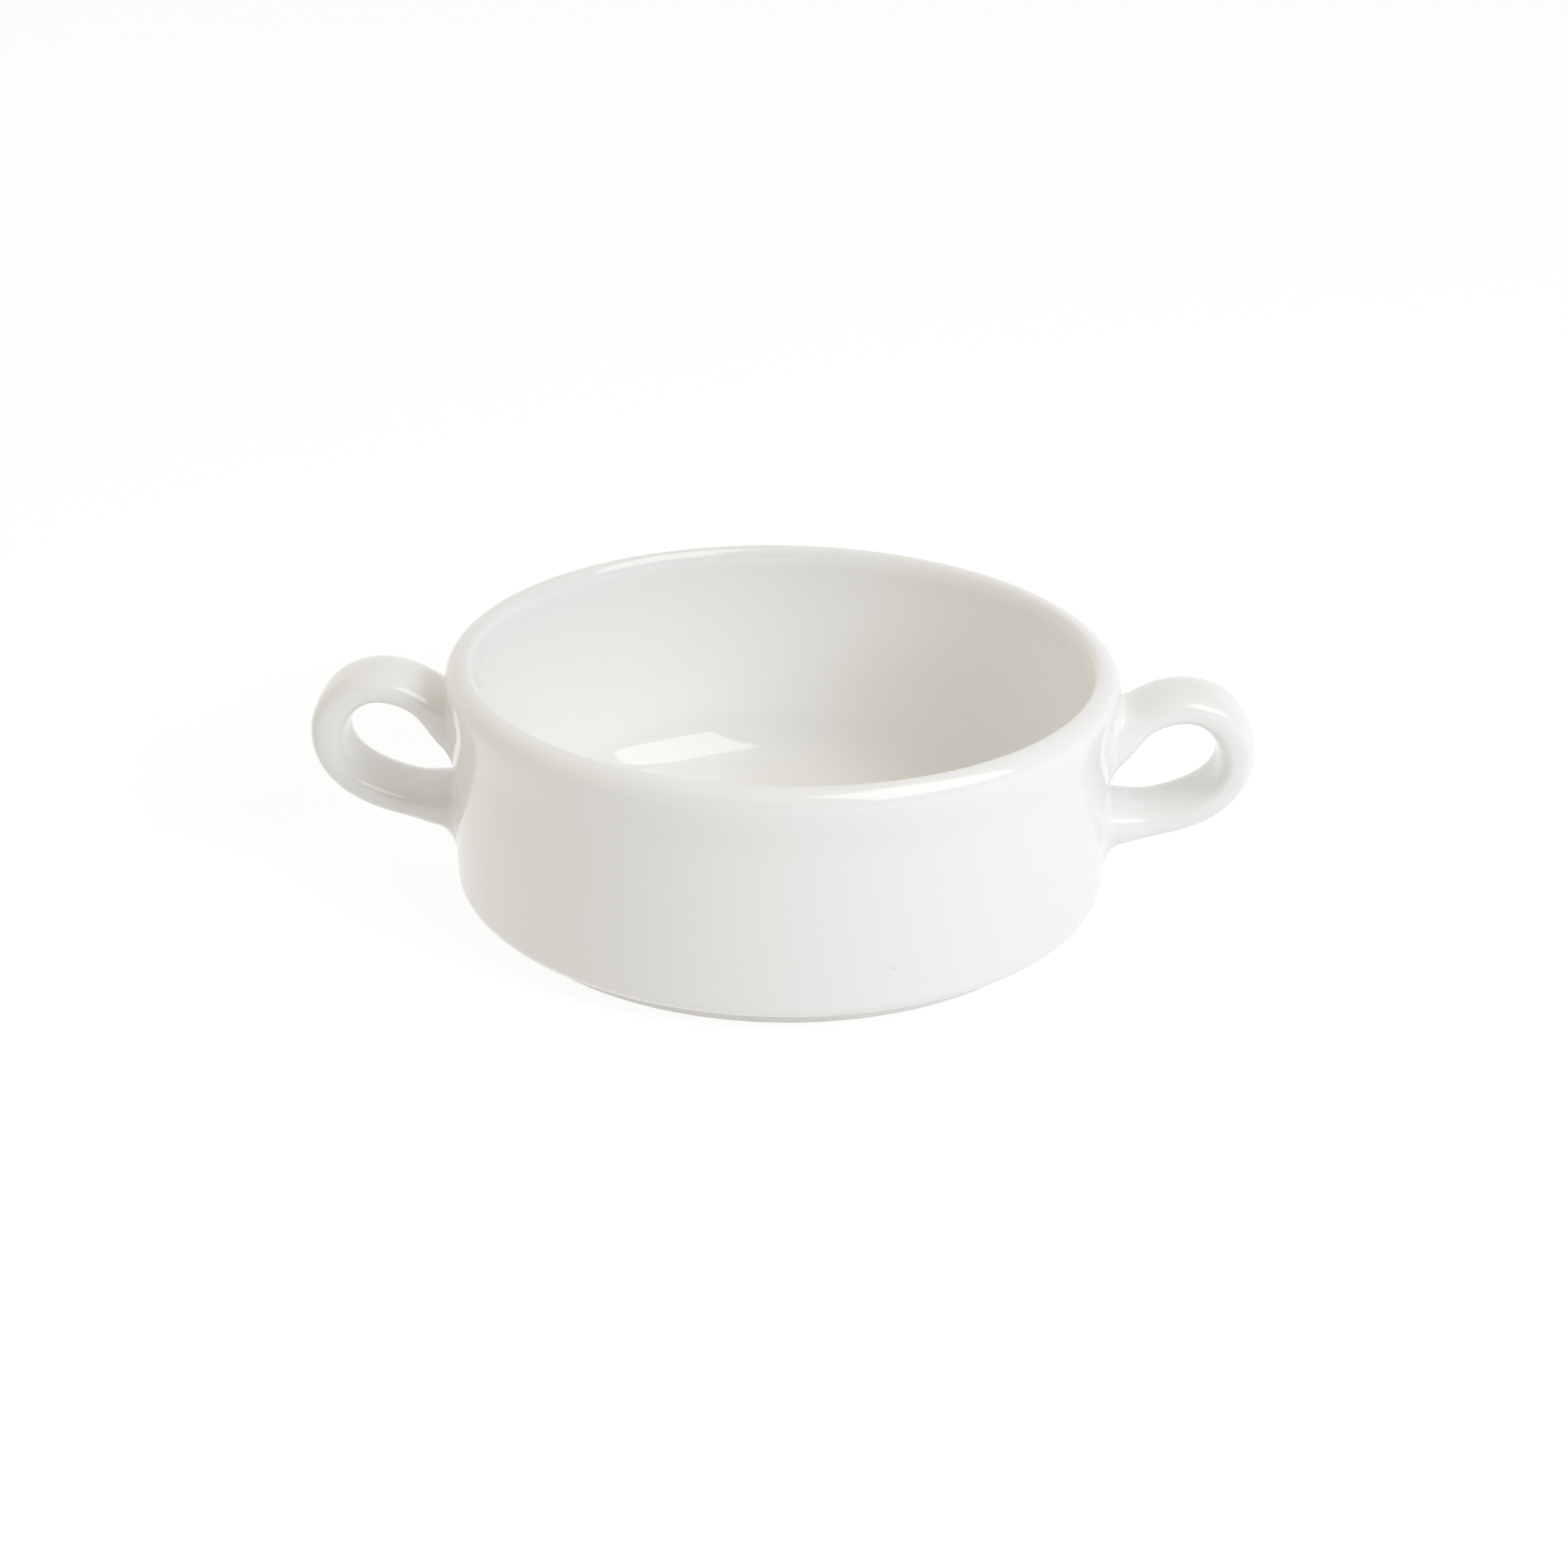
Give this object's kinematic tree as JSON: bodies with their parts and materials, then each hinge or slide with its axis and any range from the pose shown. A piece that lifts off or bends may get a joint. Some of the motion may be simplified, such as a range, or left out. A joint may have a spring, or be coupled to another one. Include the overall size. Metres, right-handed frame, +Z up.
{
  "type": "consomme bowl",
  "caption": "Round soup bowl in glazed porcelain with a straight wall, rolled lip, looped strap handles and a recessed stacking foot, for serving consomme.",
  "frame": {"origin": "centre of the foot ring's underside, on the surface that the bowl stands on", "axes": "+X through the right handle, +Y away from the viewer, +Z up through the mouth"},
  "size_m": [0.155, 0.11, 0.0415],
  "materials": {
    "glazed_porcelain": "clear gloss glaze over warm white porcelain",
    "glazed_slip": "clear gloss glaze over fired slip"
  },
  "bodies": {
    "root": {"bowl_body": "glazed_porcelain", "right_handle": "glazed_porcelain", "left_handle": "glazed_porcelain", "right_handle_upper_slip": "glazed_slip", "right_handle_lower_slip": "glazed_slip", "left_handle_upper_slip": "glazed_slip", "left_handle_lower_slip": "glazed_slip"}
  },
  "joints": []
}
